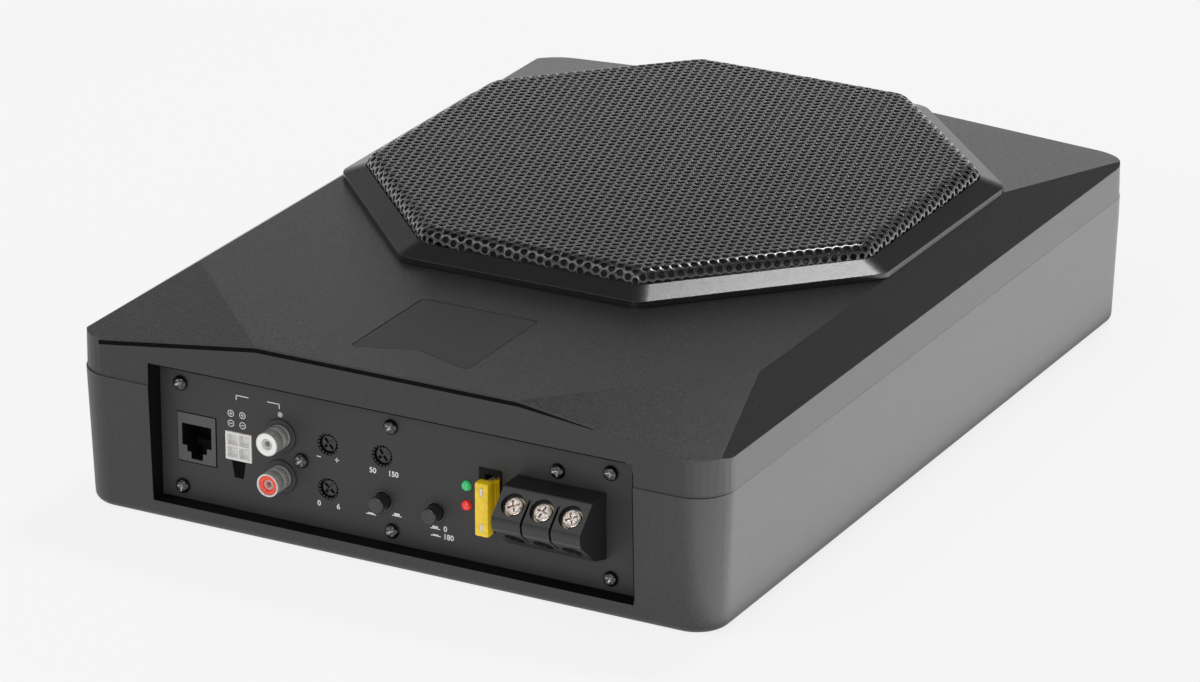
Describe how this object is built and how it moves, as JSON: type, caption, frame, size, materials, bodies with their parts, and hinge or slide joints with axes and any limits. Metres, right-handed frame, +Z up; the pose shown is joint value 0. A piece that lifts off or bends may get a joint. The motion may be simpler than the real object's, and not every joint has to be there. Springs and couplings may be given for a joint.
{
  "type": "powered car subwoofer",
  "caption": "Slim powered under-seat subwoofer: shallow cabinet with sloped deck, octagonal grille, driver inside and a recessed control and terminal panel.",
  "frame": {"origin": "centre of the cabinet outline on the flat underside", "axes": "+X to the right seen from the control panel, +Y from the control panel towards the grille end, +Z up; the control panel faces -Y"},
  "size_m": [0.247, 0.3458, 0.082],
  "materials": {
    "tub_paint": "die-cast aluminium with satin black textured powder coat",
    "cover_paint": "die-cast aluminium with satin black fine-grain powder coat",
    "frame_black": "satin black moulding",
    "grille_steel": "perforated steel sheet, semi-gloss black",
    "emblem_plain": "satin black plate, bare",
    "panel_steel": "matte black coated sheet steel",
    "black_screw": "black zinc",
    "zinc_screw": "bright zinc",
    "jack_grey": "dark grey moulded",
    "gold_contact": "gold flash",
    "socket_white": "natural white nylon",
    "tin_metal": "tin plated",
    "housing_black": "moulded black",
    "nickel": "bright nickel plating",
    "insulator_white": "glossy white",
    "insulator_red": "glossy red",
    "knob_black": "moulded black",
    "button_grey": "moulded dark grey",
    "led_green": "tinted clear epoxy",
    "led_red": "tinted clear epoxy",
    "fuse_yellow": "translucent tinted plastic",
    "block_black": "semi-gloss black moulding",
    "brass_cage": "nickel-flashed brass",
    "screw_silver": "bright plated, slightly warm",
    "board_green": "solder mask",
    "heatsink_aluminium": "extruded, plain",
    "capacitor_sleeve": "shrink sleeve",
    "copper_winding": "enamelled copper wire",
    "plated_steel": "zinc plated",
    "ferrite": "sintered ferrite, dull",
    "basket_black": "pressed steel, black coat",
    "foam_rubber": "closed-cell foam",
    "surround_rubber": "butyl rubber, matt",
    "cone_paper": "pressed black pulp",
    "dust_cap_plastic": "black dome",
    "spider_cloth": "resin-dipped woven cloth",
    "former_aluminium": "thin rolled sheet"
  },
  "bodies": {
    "enclosure": {"amplifier_board": "board_green", "back_plate": "plated_steel", "basket": "basket_black", "board_link": "housing_black", "board_screws": "zinc_screw", "bottom_tub": "tub_paint", "case_screws": "zinc_screw", "choke_coil": "copper_winding", "control_board": "board_green", "control_panel": "panel_steel", "emblem_plate": "emblem_plain", "filter_capacitors": "capacitor_sleeve", "fuse_clips": "tin_metal", "fuse_socket": "housing_black", "grille": "grille_steel", "grille_frame": "frame_black", "heatsink": "heatsink_aluminium", "high_level_pins": "tin_metal", "high_level_socket": "socket_white", "left_phono_insulator": "insulator_white", "magnet": "ferrite", "panel_screws": "black_screw", "phono_contacts": "tin_metal", "phono_housing": "housing_black", "phono_shells": "nickel", "phono_washers": "housing_black", "power_led": "led_green", "power_transistors": "housing_black", "protect_led": "led_red", "remote_jack": "jack_grey", "remote_jack_contacts": "gold_contact", "right_phono_insulator": "insulator_red", "spider": "spider_cloth", "surround": "surround_rubber", "switch_bodies": "housing_black", "terminal_block": "block_black", "terminal_cages": "brass_cage", "top_cover": "cover_paint", "top_plate": "plated_steel", "transistor_screws": "zinc_screw", "trimmer_bodies": "housing_black", "woofer_gasket": "foam_rubber", "woofer_screws": "black_screw"},
    "gain_trimmer_shaft": {"gain_trimmer": "knob_black"},
    "bass_trimmer_shaft": {"bass_trimmer": "knob_black"},
    "lowpass_trimmer_shaft": {"lowpass_trimmer": "knob_black"},
    "auto_button_cap": {"auto_button": "button_grey"},
    "phase_button_cap": {"phase_button": "button_grey"},
    "fuse": {"fuse_body": "fuse_yellow", "fuse_blades": "tin_metal"},
    "clamp_1": {"clamp_pad_1": "tin_metal"},
    "clamp_screw_1": {"terminal_screw_1": "screw_silver"},
    "clamp_2": {"clamp_pad_2": "tin_metal"},
    "clamp_screw_2": {"terminal_screw_2": "screw_silver"},
    "clamp_3": {"clamp_pad_3": "tin_metal"},
    "clamp_screw_3": {"terminal_screw_3": "screw_silver"},
    "cone_assembly": {"cone": "cone_paper", "dust_cap": "dust_cap_plastic", "voice_coil_former": "former_aluminium", "voice_coil": "copper_winding"}
  },
  "joints": [
    {"name": "gain_trimmer_turn", "type": "hinge", "parent": "enclosure", "child": "gain_trimmer_shaft", "pos_m": [-0.0267, -0.155, 0.0377], "axis": [0, -1, 0], "range_deg": [-140, 140]},
    {"name": "bass_trimmer_turn", "type": "hinge", "parent": "enclosure", "child": "bass_trimmer_shaft", "pos_m": [-0.0267, -0.155, 0.0215], "axis": [0, -1, 0], "range_deg": [-140, 140]},
    {"name": "lowpass_trimmer_turn", "type": "hinge", "parent": "enclosure", "child": "lowpass_trimmer_shaft", "pos_m": [-0.0056, -0.155, 0.0377], "axis": [0, -1, 0], "range_deg": [-140, 140]},
    {"name": "auto_button_push", "type": "slide", "parent": "enclosure", "child": "auto_button_cap", "axis": [0, 1, 0], "range_m": [0, 0.003], "stiffness_N_per_m": 400},
    {"name": "phase_button_push", "type": "slide", "parent": "enclosure", "child": "phase_button_cap", "axis": [0, 1, 0], "range_m": [0, 0.003], "stiffness_N_per_m": 400},
    {"name": "fuse_pull", "type": "slide", "parent": "enclosure", "child": "fuse", "axis": [0, -1, 0], "range_m": [0, 0.02]},
    {"name": "clamp_slide_1", "type": "slide", "parent": "enclosure", "child": "clamp_1", "axis": [0, 0.6799, -0.7333], "range_m": [0, 0.0035]},
    {"name": "clamp_screw_turn_1", "type": "hinge", "parent": "clamp_1", "child": "clamp_screw_1", "pos_m": [0.05195, -0.1738, 0.03705], "axis": [0, 0.6799, -0.7333], "range_deg": [0, 1260]},
    {"name": "clamp_slide_2", "type": "slide", "parent": "enclosure", "child": "clamp_2", "axis": [0, 0.6799, -0.7333], "range_m": [0, 0.0035]},
    {"name": "clamp_screw_turn_2", "type": "hinge", "parent": "clamp_2", "child": "clamp_screw_2", "pos_m": [0.0627, -0.1738, 0.03705], "axis": [0, 0.6799, -0.7333], "range_deg": [0, 1260]},
    {"name": "clamp_slide_3", "type": "slide", "parent": "enclosure", "child": "clamp_3", "axis": [0, 0.6799, -0.7333], "range_m": [0, 0.0035]},
    {"name": "clamp_screw_turn_3", "type": "hinge", "parent": "clamp_3", "child": "clamp_screw_3", "pos_m": [0.07345, -0.1738, 0.03705], "axis": [0, 0.6799, -0.7333], "range_deg": [0, 1260]},
    {"name": "cone_travel", "type": "slide", "parent": "enclosure", "child": "cone_assembly", "axis": [0, 0, 1], "range_m": [-0.004, 0.004], "stiffness_N_per_m": 2500, "deforming": ["surround", "spider"]}
  ],
  "couplings": [
    {"joint": "clamp_screw_turn_1", "follows": "clamp_slide_1", "rad_per_m": 6283.2},
    {"joint": "clamp_screw_turn_2", "follows": "clamp_slide_2", "rad_per_m": 6283.2},
    {"joint": "clamp_screw_turn_3", "follows": "clamp_slide_3", "rad_per_m": 6283.2}
  ]
}
